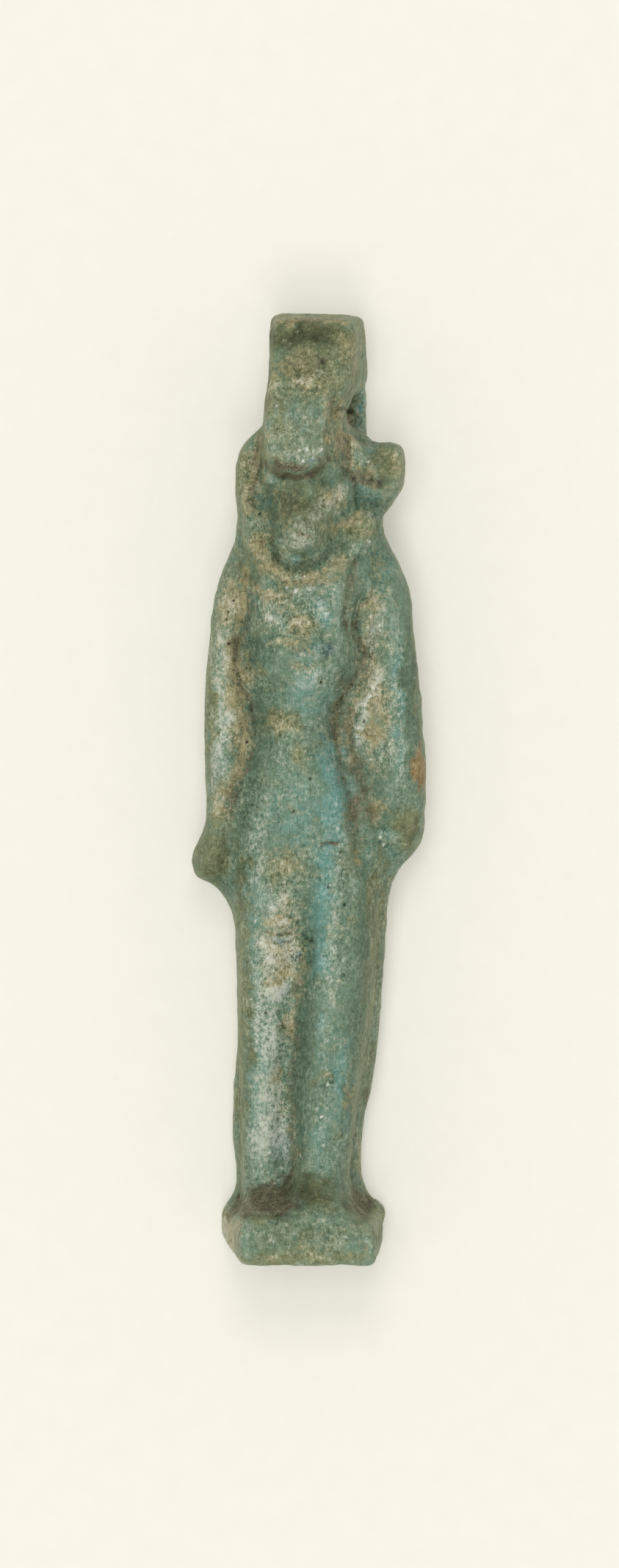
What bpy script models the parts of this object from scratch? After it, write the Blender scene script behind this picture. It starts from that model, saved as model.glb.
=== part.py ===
# A lion-headed goddess, a moulded faience amulet, lying on its back.
#
# The figure is modelled square: X across it, Y up it and Z out of its face, with the back
# pillar's rear face at z = 0 and the plinth's underside at y = 0. It is then laid down, so
# that it rests on the plinth's heel and on the cord loop behind its headdress.
# Metres throughout. Run it with: blender --background --python part.py

import math

import bpy
import numpy as np
from mathutils import Matrix

# Driving dimensions
figure_height = 0.0395  # soles to the top of the headdress
plinth_height = 0.00205
plinth_depth = 0.0084
plinth_back_width = 0.0072
plinth_front_width = 0.0060
pillar_thickness = 0.0016
pillar_foot_width = 0.0056
pillar_head_width = 0.0042
cord_hole_diameter = 0.0018
cord_hole_set_back = 0.0003  # its axis behind the rear face of the pillar
loop_wall = 0.0017  # faience behind the cord hole
loop_width = 0.0042
worn_flat = 0.00012  # how far the heel and the loop are rubbed flat where the amulet lies
underside_trim = 0.0001

# Places in the carving are given in squares of a grid drawn over the figure.
grid_squares = 39.5  # to the figure's height
square = figure_height / grid_squares

# Mesh fineness
voxel = figure_height / 240
ring_points = 36
triangle_budget = 9200

# The cord hole and the loop around it
loop_up = 34.9  # squares above the soles
hole_radius = cord_hole_diameter / 2
loop_projection = cord_hole_set_back + hole_radius + loop_wall
loop_middle = 0.75  # squares to the figure's left


def across(x):
    return x * square


def height(up):
    return plinth_height + up * square


def add_rings(form, rings):
    """Adds a closed skin over a row of rings, each an array of as many points."""
    count = len(rings[0])
    faces = []
    for ring in range(len(rings) - 1):
        low, high = ring * count, (ring + 1) * count
        for step in range(count):
            after = (step + 1) % count
            faces.append((low + step, low + after, high + after, high + step))
    faces.append(tuple(reversed(range(count))))
    faces.append(tuple(range((len(rings) - 1) * count, len(rings) * count)))
    form.append((np.concatenate(rings), faces))


def smooth_rows(stations, spacing):
    """Rows on a smooth line through the stations, about spacing squares apart."""
    rows = np.array([stations[0], *stations, stations[-1]], float)
    made_rows = []
    for before, start, end, after in zip(rows, rows[1:], rows[2:], rows[3:]):
        steps = max(1, round(np.linalg.norm((end - start)[:3]) / spacing))
        for share in np.arange(steps) / steps:
            made_rows.append(
                0.5
                * (
                    2 * start
                    + (end - before) * share
                    + (2 * before - 5 * start + 4 * end - after) * share**2
                    + (3 * start - before - 3 * end + after) * share**3
                )
            )
    made_rows.append(rows[-1])
    return made_rows


def limb(form, stations, squareness=2.2):
    """Adds a limb with rounded sections.

    Each station is (up, left side, crest, right side, back, front), in squares. The crest is
    where the section stands furthest forward. A squareness of 2 gives ellipses, and more
    gives squarer sections.
    """
    turn = np.linspace(0, 2 * math.pi, ring_points, endpoint=False)
    swing = np.sign(np.cos(turn)) * np.abs(np.cos(turn)) ** (2 / squareness)
    rise = np.sign(np.sin(turn)) * np.abs(np.sin(turn)) ** (2 / squareness)
    rings = []
    for up, left, crest, right, back, front in smooth_rows(stations, 0.4):
        reach = np.where(swing > 0, right - crest, crest - left)
        x = across(crest + reach * swing)
        z = square * ((front + back) / 2 + (front - back) / 2 * rise)
        rings.append(np.stack((x, np.full_like(x, height(up)), z), axis=1))
    add_rings(form, rings)


def slab(form, stations):
    """Adds a four-sided upright slab.

    Each station is (up, back left, back right, back, front left, front right, front).
    """
    rings = []
    for up, back_left, back_right, back, front_left, front_right, front in stations:
        corners = (
            (back_left, back),
            (back_right, back),
            (front_right, front),
            (front_left, front),
        )
        rings.append(np.array([(across(x), height(up), z * square) for x, z in corners]))
    add_rings(form, rings)


def ball(form, place, radii):
    """Adds an ellipsoid. Its place is (x, up, fore), and all are in squares."""
    rings = []
    around = np.linspace(0, 2 * math.pi, 24, endpoint=False)
    for lift in np.linspace(-0.48 * math.pi, 0.48 * math.pi, 13):
        ring = np.stack(
            (
                np.cos(around) * math.cos(lift) * radii[0],
                np.full_like(around, math.sin(lift) * radii[1]),
                np.sin(around) * math.cos(lift) * radii[2],
            ),
            axis=1,
        )
        ring = (ring + (place[0], place[1], place[2])) * square
        rings.append(ring + (0, plinth_height, 0))
    add_rings(form, rings)


def rope(form, stations, spacing=0.22):
    """Adds balls strung along stations of (x, up, fore, half width, half height, half depth)."""
    for x, up, fore, wide, tall, deep in smooth_rows(stations, spacing):
        ball(form, (x, up, fore), (wide, tall, deep))


def plinth(form):
    """The plinth is part of the moulding. Its front is narrower, so that it left the mould."""
    back, front = plinth_back_width / 2, plinth_front_width / 2
    front_middle = across(0.24)
    rings = []
    # Its left rear corner is trimmed higher underneath than the rest.
    for corner_lift, up in ((across(0.45), 0), (0, plinth_height)):
        rings.append(
            np.array(
                (
                    (-back, up + corner_lift, 0),
                    (back, up, 0),
                    (front_middle + front, up, plinth_depth),
                    (front_middle - front, up, plinth_depth),
                )
            )
        )
    add_rings(form, rings)


def back_pillar(form):
    """A flat slab from the plinth to the top of the head, narrowing as it rises."""
    foot, head = pillar_foot_width / 2, pillar_head_width / 2
    rings = []
    for up, middle, half in ((-0.5, -0.15, foot), (39, 0.78, head)):
        left, right = across(middle) - half, across(middle) + half
        rings.append(
            np.array(
                (
                    (left, height(up), 0),
                    (right, height(up), 0),
                    (right, height(up), pillar_thickness),
                    (left, height(up), pillar_thickness),
                )
            )
        )
    add_rings(form, rings)


def backing(form):
    """What joins the legs and arms to the pillar. Nothing on the amulet stands free."""
    limb(
        form,
        (
            (-0.3, -3.75, 0.0, 3.90, 0.3, 3.2),
            (0.2, -3.35, 0.0, 3.45, 0.4, 2.8),
            (0.8, -2.98, -0.1, 2.85, 0.5, 2.6),
            (1.5, -2.88, -0.1, 2.55, 0.5, 2.6),
            (3.4, -3.10, -0.1, 2.84, 0.5, 2.6),
            (5.4, -3.05, 0.1, 3.22, 0.5, 2.7),
            (7.4, -2.88, 0.3, 3.47, 0.5, 2.8),
            (9.4, -2.88, 0.4, 3.60, 0.5, 2.9),
            (11.4, -2.92, 0.4, 3.74, 0.6, 3.0),
            (12.6, -3.00, 0.4, 3.80, 0.7, 3.3),
            (13.5, -3.28, 0.4, 3.86, 0.8, 3.5),
            (14.4, -3.85, 0.4, 4.00, 0.9, 3.7),
            (16.5, -3.90, 0.5, 4.90, 1.0, 3.8),
            (20.5, -3.90, 0.6, 4.95, 1.0, 3.8),
            (24.5, -3.75, 0.6, 4.70, 1.0, 3.7),
            (27.5, -3.30, 0.6, 4.20, 1.0, 3.5),
            (28.9, -2.90, 0.6, 3.70, 1.0, 3.0),
        ),
        squareness=3.4,
    )
    limb(
        form,
        (
            (-0.2, -1.50, -0.70, 0.20, 1.0, 4.0),
            (4.0, -1.40, -0.60, 0.30, 1.0, 4.0),
            (8.0, -1.10, -0.20, 0.80, 1.0, 4.2),
            (11.0, -0.90, 0.05, 1.00, 1.0, 4.6),
            (14.0, -0.90, 0.10, 1.10, 1.0, 5.0),
        ),
    )


def legs(form):
    """The left leg is advanced."""
    limb(
        form,
        (
            (-0.2, -2.68, -1.7, -0.85, 1.0, 4.8),
            (1.5, -2.66, -1.7, -0.85, 1.0, 4.9),
            (4.0, -2.70, -1.7, -0.75, 1.0, 5.0),
            (8.0, -2.78, -1.6, -0.35, 1.0, 5.2),
            (11.0, -2.84, -1.5, 0.00, 1.0, 5.4),
            (13.5, -2.90, -1.4, 0.30, 1.0, 5.55),
            (16.0, -2.90, -1.3, 0.60, 1.0, 5.3),
            (18.0, -2.70, -1.3, 0.60, 1.0, 4.6),
        ),
    )
    limb(
        form,
        (
            (-0.2, -0.55, 0.8, 2.05, 1.5, 6.6),
            (2.0, -0.50, 0.85, 2.15, 1.5, 6.5),
            (4.0, -0.42, 0.95, 2.35, 1.5, 6.3),
            (8.0, -0.05, 1.20, 2.90, 1.2, 6.1),
            (11.0, 0.15, 1.30, 3.20, 1.0, 6.0),
            (13.5, 0.10, 1.30, 3.30, 1.0, 5.8),
            (16.0, -0.10, 1.30, 3.20, 1.0, 5.4),
            (18.0, -0.10, 1.30, 2.90, 1.0, 4.6),
        ),
    )


def feet(form):
    rope(
        form,
        (
            (-1.72, 0.35, 4.4, 1.00, 0.85, 0.9),
            (-1.75, 0.20, 5.8, 1.00, 0.75, 0.9),
            (-1.72, -0.05, 7.1, 0.95, 0.60, 0.9),
        ),
    )
    rope(
        form,
        (
            (0.75, 0.75, 5.6, 1.35, 1.30, 1.0),
            (0.75, 0.35, 6.8, 1.45, 1.00, 0.9),
            (0.75, -0.05, 7.6, 1.45, 0.70, 0.7),
        ),
    )


def torso(form):
    limb(
        form,
        (
            (10.5, -2.70, 0.0, 3.10, 0.8, 3.6),
            (12.5, -2.85, -0.1, 3.20, 0.8, 4.7),
            (14.5, -2.95, -0.1, 3.15, 0.8, 5.4),
            (16.0, -2.95, -0.1, 3.00, 0.8, 5.65),
            (18.0, -2.85, -0.2, 2.70, 0.8, 5.6),
            (19.7, -2.45, -0.3, 2.15, 0.8, 5.5),
            (21.4, -2.00, -0.3, 1.45, 0.8, 5.2),
            (22.8, -2.20, -0.2, 1.75, 0.8, 5.3),
            (24.3, -2.85, 0.0, 2.90, 0.8, 5.6),
            (25.8, -2.60, 0.1, 2.20, 0.8, 5.3),
            (27.3, -2.25, 0.2, 2.40, 0.8, 5.1),
            (29.0, -2.10, 0.2, 2.60, 0.8, 4.9),
        ),
        squareness=2.0,
    )
    for side, x in ((-1, -1.75), (1, 1.70)):
        ball(form, (x, 24.4, 4.7), (0.85, 0.8, 0.95))


def arms(form):
    """Both hang straight down. The fists are turned out a little at the thighs."""
    limb(
        form,
        (
            (14.5, -4.50, -4.0, -3.30, 1.5, 3.2),
            (14.9, -4.88, -4.0, -3.20, 1.2, 3.8),
            (15.7, -4.88, -3.9, -3.10, 1.1, 4.2),
            (16.3, -4.60, -3.8, -3.08, 1.1, 4.2),
            (16.9, -4.32, -3.7, -3.05, 1.2, 4.2),
            (18.2, -4.20, -3.5, -2.85, 1.2, 4.3),
            (20.4, -4.32, -3.3, -2.35, 1.2, 4.5),
            (22.2, -4.30, -3.3, -2.15, 1.2, 4.5),
            (24.2, -4.18, -3.5, -2.80, 1.2, 4.4),
            (26.2, -3.98, -3.2, -2.60, 1.2, 4.3),
            (27.5, -3.76, -3.0, -2.20, 1.2, 4.1),
            (28.5, -3.46, -2.7, -2.00, 1.3, 3.7),
            (29.2, -3.10, -2.5, -2.00, 1.5, 3.3),
        ),
        squareness=2.0,
    )
    limb(
        form,
        (
            (15.3, 3.00, 3.7, 4.40, 1.4, 3.2),
            (15.8, 2.90, 4.0, 4.98, 1.2, 3.8),
            (16.5, 2.80, 4.3, 5.40, 1.0, 4.3),
            (18.0, 2.75, 4.3, 5.48, 0.8, 4.5),
            (19.6, 2.30, 4.2, 5.48, 0.8, 4.6),
            (21.2, 1.75, 4.0, 5.38, 0.8, 4.7),
            (22.6, 1.65, 4.0, 5.30, 0.8, 4.7),
            (24.2, 2.90, 3.9, 5.10, 0.8, 4.6),
            (26.0, 2.25, 3.8, 4.90, 0.8, 4.5),
            (27.5, 2.40, 3.6, 4.74, 0.9, 4.3),
            (28.5, 2.50, 3.5, 4.38, 1.2, 4.0),
            (29.3, 2.60, 3.3, 3.95, 1.5, 3.5),
            (29.9, 2.60, 3.2, 3.65, 1.7, 3.2),
        ),
        squareness=2.0,
    )


def wig_and_mane(form):
    """The mane frames the face, and the wig's two lappets come down over the chest."""
    limb(
        form,
        (
            (27.6, -2.40, 0.2, 3.00, 0.8, 4.8),
            (28.6, -2.85, 0.2, 3.60, 0.8, 4.7),
            (29.6, -2.95, 0.2, 3.72, 0.8, 4.6),
            (30.3, -2.88, 0.2, 3.50, 0.8, 4.5),
            (31.0, -2.72, 0.2, 3.55, 0.8, 4.5),
            (32.2, -2.60, 0.2, 3.20, 0.8, 4.5),
            (33.6, -2.10, 0.2, 2.80, 0.8, 4.5),
        ),
        squareness=2.6,
    )
    for left_lappet in (False, True):
        lean = 1 if left_lappet else -1
        rope(
            form,
            (
                (0.25 + lean * 1.90, 29.4, 4.1, 0.70, 0.7, 0.80),
                (0.15 + lean * 1.70, 27.6, 4.6, 0.75, 0.7, 0.75),
                (0.00 + lean * 1.50, 25.6, 4.9, 0.70, 0.6, 0.60),
            ),
        )
    rope(
        form,
        (
            (-2.10, 31.7, 4.2, 0.45, 0.45, 0.60),
            (-2.15, 30.4, 4.3, 0.55, 0.55, 0.65),
            (-1.75, 29.2, 4.6, 0.60, 0.60, 0.65),
            (-0.95, 28.5, 4.9, 0.65, 0.60, 0.65),
            (0.05, 28.2, 5.0, 0.65, 0.60, 0.65),
            (1.15, 28.5, 4.9, 0.65, 0.60, 0.65),
            (2.05, 29.3, 4.5, 0.65, 0.60, 0.65),
            (2.70, 30.5, 4.1, 0.60, 0.55, 0.65),
        ),
    )


def face(form):
    """A lioness: a low forehead, a broad nose bridge and a blunt muzzle."""
    limb(
        form,
        (
            (29.0, -1.20, 0.0, 1.30, 3.0, 5.5),
            (30.1, -1.80, 0.0, 1.60, 3.0, 5.6),
            (31.2, -2.10, 0.0, 1.75, 3.0, 5.8),
            (32.2, -2.05, 0.0, 1.80, 3.0, 6.0),
            (33.4, -1.70, 0.0, 1.65, 3.0, 5.8),
        ),
        squareness=2.8,
    )
    rope(
        form,
        (
            (0.05, 32.8, 5.5, 0.95, 0.6, 0.6),
            (0.10, 31.8, 5.7, 0.85, 0.6, 0.7),
            (0.05, 30.9, 5.9, 0.75, 0.6, 0.9),
        ),
    )
    ball(form, (0.00, 29.95, 5.6), (1.15, 1.08, 1.75))
    rope(
        form,
        (
            (1.68, 32.7, 5.2, 0.30, 0.3, 0.45),
            (1.72, 31.9, 5.3, 0.32, 0.3, 0.50),
            (1.35, 31.1, 5.4, 0.32, 0.3, 0.50),
        ),
    )


def ears(form):
    """Round ears stand out on either side, and the figure's left one further."""
    slab(
        form,
        (
            (30.7, 2.0, 3.50, 1.7, 2.0, 3.35, 3.2),
            (31.2, 2.0, 4.10, 1.4, 2.0, 3.95, 3.5),
            (31.9, 2.0, 4.62, 1.3, 2.0, 4.40, 3.7),
            (33.4, 2.0, 4.65, 1.4, 2.0, 4.45, 3.7),
            (33.9, 2.0, 4.50, 1.7, 2.0, 4.30, 3.4),
        ),
    )
    rope(
        form,
        (
            (2.10, 34.0, 3.7, 0.35, 0.4, 0.5),
            (2.70, 33.0, 4.1, 0.35, 0.4, 0.5),
            (3.10, 32.0, 4.1, 0.40, 0.4, 0.5),
            (3.80, 31.7, 3.7, 0.35, 0.4, 0.5),
        ),
    )
    rope(
        form,
        (
            (-2.45, 31.2, 3.2, 0.45, 0.6, 1.1),
            (-2.50, 32.4, 3.3, 0.45, 0.6, 1.2),
            (-2.35, 33.4, 3.2, 0.45, 0.6, 1.1),
            (-1.80, 34.0, 3.0, 0.45, 0.5, 0.9),
        ),
    )


def headdress(form):
    """A flat-topped crown, with a cobra's raised front before it."""
    slab(
        form,
        (
            (32.5, -2.20, 2.70, 0.3, -1.60, 1.60, 4.9),
            (34.0, -1.75, 2.75, 0.0, -1.62, 1.60, 4.9),
            (35.6, -1.50, 2.85, 0.0, -1.50, 1.65, 5.2),
            (36.9, -1.43, 3.02, 0.0, -1.40, 2.10, 5.9),
            (38.0, -1.42, 2.90, 0.0, -1.35, 2.25, 5.6),
            (39.0, -1.38, 2.86, 0.0, -1.30, 2.32, 5.1),
            (grid_squares, -1.36, 2.84, 0.0, -1.25, 2.36, 4.8),
        ),
    )
    slab(
        form,
        (
            (32.7, -1.45, 1.50, 3.0, -1.20, 1.15, 6.1),
            (33.2, -1.72, 1.60, 3.0, -1.55, 1.30, 6.9),
            (34.0, -1.78, 1.50, 3.0, -1.60, 1.10, 7.0),
            (35.5, -1.72, 1.50, 3.0, -1.55, 1.05, 6.6),
            (36.6, -1.55, 1.90, 3.0, -1.40, 1.40, 6.1),
            (37.6, -1.45, 2.20, 3.0, -1.35, 1.90, 5.6),
        ),
    )
    ball(form, (-0.2, 33.4, 6.2), (1.15, 0.8, 1.0))


def cord_loop(form):
    """A short thick tube behind the headdress, joined to the pillar."""
    ring = np.linspace(0, 2 * math.pi, 40, endpoint=False)
    radius = hole_radius + loop_wall
    left = across(loop_middle) - loop_width / 2
    rings = []
    for x in (left, left + loop_width):
        y = height(loop_up) + radius * np.cos(ring)
        z = radius * np.sin(ring) - cord_hole_set_back
        rings.append(np.stack((np.full_like(y, x), y, z), axis=1))
    add_rings(form, rings)


def carve_cord_hole(form):
    """The hole, which opens out at both mouths."""
    ring = np.linspace(0, 2 * math.pi, 32, endpoint=False)
    middle = across(loop_middle)
    reach = loop_width / 2
    rings = []
    mouths = ((-1.6, 2.2), (-0.95, 1.45), (-0.5, 1.0), (0.5, 1.0), (0.95, 1.5), (1.6, 2.3))
    for share, widen in mouths:
        y = height(loop_up) + widen * hole_radius * np.cos(ring)
        z = widen * hole_radius * np.sin(ring) - cord_hole_set_back
        rings.append(np.stack((np.full_like(y, middle + share * reach), y, z), axis=1))
    add_rings(form, rings)


def carve_hollows(form):
    """The lost edge before the cord hole, the eyes, and the hollows of the ears."""
    ball(form, (3.0, 35.25, 2.0), (1.25, 1.05, 2.9))
    ball(form, (-1.45, 31.5, 5.5), (0.58, 0.52, 0.85))
    ball(form, (1.15, 31.7, 5.9), (0.46, 0.42, 0.80))
    ball(form, (3.25, 32.9, 4.0), (0.65, 0.75, 0.75))
    ball(form, (-1.98, 32.8, 4.6), (0.32, 1.10, 0.90))


def made(name, steps, collection):
    """An object holding the forms of the given steps, which still overlap."""
    form = []
    for step in steps:
        step(form)
    count = 0
    faces = []
    for points, skin in form:
        faces.extend([tuple(count + i for i in face) for face in skin])
        count += len(points)
    mesh = bpy.data.meshes.new(name)
    mesh.from_pydata(np.concatenate([points for points, skin in form]).tolist(), [], faces)
    obj = bpy.data.objects.new(name, mesh)
    collection.objects.link(obj)
    return obj


def melt(obj, size, rounds):
    """Fuses what overlaps into one skin, and softens it as wear has."""
    fuse = obj.modifiers.new("Fuse", "REMESH")
    fuse.mode = "VOXEL"
    fuse.voxel_size = size
    soften = obj.modifiers.new("Soften", "SMOOTH")
    soften.factor = 0.5
    soften.iterations = rounds


def evaluated_mesh(obj):
    bpy.context.view_layer.update()
    mesh = obj.evaluated_get(bpy.context.evaluated_depsgraph_get()).to_mesh()
    mesh.calc_loop_triangles()
    return mesh


def trimming_box(name, collection, top):
    """A wide box under the given height along one axis: it trims what lies below."""
    spread = 2 * figure_height
    high = [spread if limit is None else limit for limit in top]
    corners = [
        [(-spread, limit)[(corner >> axis) & 1] for axis, limit in enumerate(high)]
        for corner in range(8)
    ]
    sides = (
        (0, 2, 3, 1),
        (4, 5, 7, 6),
        (0, 1, 5, 4),
        (2, 6, 7, 3),
        (0, 4, 6, 2),
        (1, 3, 7, 5),
    )
    mesh = bpy.data.meshes.new(name)
    mesh.from_pydata(corners, [], sides)
    obj = bpy.data.objects.new(name, mesh)
    collection.objects.link(obj)
    hide(obj)
    return obj


def hide(obj):
    obj.hide_render = True
    obj.display_type = "WIRE"


def cut(obj, tool):
    difference = obj.modifiers.new("Cut " + tool.name, "BOOLEAN")
    difference.operation = "DIFFERENCE"
    difference.solver = "EXACT"
    difference.object = tool


def faience():
    """Blue-green glaze, dulled by burial."""
    material = bpy.data.materials.new("faience")
    material.use_nodes = True
    shader = material.node_tree.nodes["Principled BSDF"]
    shader.inputs["Base Color"].default_value = (0.13, 0.24, 0.19, 1)
    shader.inputs["Roughness"].default_value = 0.45
    shader.inputs["Metallic"].default_value = 0
    material.diffuse_color = (0.13, 0.24, 0.19, 1)
    return material


def main():
    for obj in list(bpy.data.objects):
        bpy.data.objects.remove(obj)
    parts = bpy.data.collections.new("Lion-headed goddess amulet")
    tools = bpy.data.collections.new("Cutters")
    for collection in (parts, tools):
        bpy.context.scene.collection.children.link(collection)

    forms = (
        plinth,
        back_pillar,
        backing,
        legs,
        feet,
        torso,
        arms,
        wig_and_mane,
        face,
        ears,
        headdress,
        cord_loop,
    )
    amulet = made("lion_headed_goddess_amulet", forms, parts)
    amulet.data.materials.append(faience())
    melt(amulet, voxel, 9)

    carving = made("carving", (carve_cord_hole, carve_hollows), tools)
    melt(carving, voxel, 2)
    hide(carving)
    cut(amulet, carving)
    melt(amulet, voxel, 5)

    thin = amulet.modifiers.new("Thin", "DECIMATE")
    thin.ratio = min(1.0, triangle_budget / len(evaluated_mesh(amulet).loop_triangles))

    # The underside is trimmed flat.
    underside = trimming_box("underside", tools, (None, underside_trim, None))
    cut(amulet, underside)

    # The heel and the loop touch the table, and the figure leans back between them.
    recline = math.atan2(loop_projection, height(loop_up))
    laid = Matrix.Translation((0, 0, -worn_flat)) @ Matrix.Rotation(recline, 4, "X")
    table = trimming_box("table", tools, (None, None, 0))
    cut(amulet, table)
    for obj in (amulet, carving, underside):
        obj.matrix_world = laid @ obj.matrix_world

    # The origin goes under the middle of the whole.
    corners = np.array([amulet.matrix_world @ v.co for v in evaluated_mesh(amulet).vertices])
    middle = (corners.min(axis=0) + corners.max(axis=0)) / 2
    centred = Matrix.Translation((-middle[0], -middle[1], 0))
    for obj in (amulet, carving, underside):
        obj.matrix_world = centred @ obj.matrix_world


main()
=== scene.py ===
# Lion-headed goddess amulet: worn blue-green faience, lying on its back on pale paper.
import math

import bpy
import numpy as np
from mathutils import Matrix, Vector


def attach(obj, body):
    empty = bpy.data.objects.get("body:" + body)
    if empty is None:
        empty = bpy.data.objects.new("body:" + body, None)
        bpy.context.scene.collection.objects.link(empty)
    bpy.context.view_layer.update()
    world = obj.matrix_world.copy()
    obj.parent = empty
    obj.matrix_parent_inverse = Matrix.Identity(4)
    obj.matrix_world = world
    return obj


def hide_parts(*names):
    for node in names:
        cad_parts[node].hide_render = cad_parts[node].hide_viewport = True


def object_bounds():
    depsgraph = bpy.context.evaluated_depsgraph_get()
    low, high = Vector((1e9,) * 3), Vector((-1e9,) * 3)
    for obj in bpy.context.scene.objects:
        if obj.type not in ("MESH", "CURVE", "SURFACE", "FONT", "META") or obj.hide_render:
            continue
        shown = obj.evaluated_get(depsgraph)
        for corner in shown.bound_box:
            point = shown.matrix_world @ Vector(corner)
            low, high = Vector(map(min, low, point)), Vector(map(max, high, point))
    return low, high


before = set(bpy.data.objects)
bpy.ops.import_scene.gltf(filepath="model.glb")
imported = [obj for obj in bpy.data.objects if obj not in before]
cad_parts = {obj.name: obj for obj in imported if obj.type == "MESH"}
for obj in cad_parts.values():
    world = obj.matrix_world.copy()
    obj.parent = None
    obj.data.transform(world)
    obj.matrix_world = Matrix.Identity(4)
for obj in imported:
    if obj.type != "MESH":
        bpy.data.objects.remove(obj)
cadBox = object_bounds()

mm = 0.001

# The photograph's own pixels, how they come to millimetres on the table, and the camera.
photo = {
    "wide": 843,
    "high": 2136,
    "pixelsPerMm": 30.9,
    "midColumn": 420.3,        # the column over x = 0
    "footRow": 1722,           # the row of the plinth's lower edge
    "footPlace": -20.97,       # where that edge lies, mm
    "cameraHeight": 900.0,     # mm above the table
    "sharpHeight": 4.5,        # the height at which pixelsPerMm holds, mm
    "sensorWide": 36.0,        # mm
    "seesTo": 10.0,            # metres
}


def photoMiddle():
    # the place under the middle of the picture, mm
    across = (photo["wide"] / 2 - photo["midColumn"]) / photo["pixelsPerMm"]
    along = (photo["footRow"] - photo["high"] / 2) / photo["pixelsPerMm"] + photo["footPlace"]
    return across, along


def seenAt(points):
    # columns and rows at which the camera sees these points, given in mm
    middle = np.array(photoMiddle())
    nearer = (photo["cameraHeight"] - photo["sharpHeight"]) / (photo["cameraHeight"] - points[:, 2])
    flat = middle + (points[:, :2] - middle) * nearer[:, None]
    columns = photo["midColumn"] + flat[:, 0] * photo["pixelsPerMm"]
    rows = photo["footRow"] - (flat[:, 1] - photo["footPlace"]) * photo["pixelsPerMm"]
    return np.column_stack((columns, rows))


def easeBetween(values, low, high):
    # 0 at low, 1 at high, eased at both ends
    share = np.clip((values - low) / (high - low), 0, 1)
    return share * share * (3 - 2 * share)


# Large primes that scatter the corners of the noise's lattice.
cornerPrimes = np.array((73856093, 19349663, 83492791))
seedPrime = 2654435
mixPrime = 1274126177


def latticeNoise(points, seed):
    # smooth noise from -1 to 1, one lump to each unit
    cell = np.floor(points).astype(np.int64)
    inside = points - cell
    ease = inside ** 3 * (inside * (inside * 6 - 15) + 10)      # level at both ends
    total = np.zeros(len(points))
    for corner in range(8):
        step = np.array((corner & 1, corner >> 1 & 1, corner >> 2 & 1))
        mixed = np.bitwise_xor.reduce((cell + step) * cornerPrimes, axis=1) ^ seed * seedPrime
        mixed = (mixed ^ mixed >> 13) * mixPrime & 0xFFFFFFFF
        mixed = (mixed ^ mixed >> 16) & 0xFFFF
        value = mixed / 32767.5 - 1          # 16 bits, made to run from -1 to 1
        total += value * np.prod(np.where(step, ease, 1 - ease), axis=1)
    return total


def lumps(points, size, seed, octaves=3):
    # size is a lump's size in mm, or one for each direction; each octave is half the one before
    total = np.zeros(len(points))
    for octave in range(octaves):
        total += latticeNoise(points / np.array(size) * 2 ** octave, seed + octave) / 2 ** octave
    return total


def strokeShare(seen, width, line):
    # 1 along the line, falling away over about its width
    line = np.array(line, dtype=float)
    reach = 3 * width
    near = np.all((seen > line.min(0) - reach) & (seen < line.max(0) + reach), axis=1)
    best = np.full(near.sum(), np.inf)
    for start, end in zip(line, line[1:]):
        along = end - start
        span = max(along @ along, 1e-9)      # a dot has no length to divide by
        part = np.clip((seen[near] - start) @ along / span, 0, 1)
        gap = seen[near] - start - part[:, None] * along
        best = np.minimum(best, (gap ** 2).sum(1))
    share = np.zeros(len(seen))
    share[near] = np.exp(-best / width ** 2)
    return share


def dotShare(seen, column, row, width):
    # 1 in the middle of a dot, falling away over about its width
    return strokeShare(seen, width, [(column, row), (column, row)])


def ovalGap(seen, column, row, halfWide, halfHigh, tilt=0):
    # 0 in the middle of an oval, 1 on its edge; tilt turns it, in degrees
    turn = math.radians(tilt)
    across = seen[:, 0] - column
    down = seen[:, 1] - row
    wide = (across * math.cos(turn) + down * math.sin(turn)) / halfWide
    high = (down * math.cos(turn) - across * math.sin(turn)) / halfHigh
    return np.hypot(wide, high)


def spotShare(seen, *oval):
    # 1 in the middle of an oval, falling to 0 a little way outside it
    return 1 - easeBetween(ovalGap(seen, *oval), 0.05, 1.55)


def levelShare(seen, *oval):
    # 1 over most of an oval, falling to 0 round its edge
    return 1 - easeBetween(ovalGap(seen, *oval), 0.7, 1.25)


def mostOf(seen, shareOf, entries):
    # the most that any entry gives each point; an entry is a strength, then the shape of its share
    total = np.zeros(len(seen))
    for strength, *shape in entries:
        total = np.maximum(total, strength * shareOf(seen, *shape))
    return total


def everyOne(groups):
    # the entries of all the groups, in one list
    return [entry for group in groups.values() for entry in group]


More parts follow.
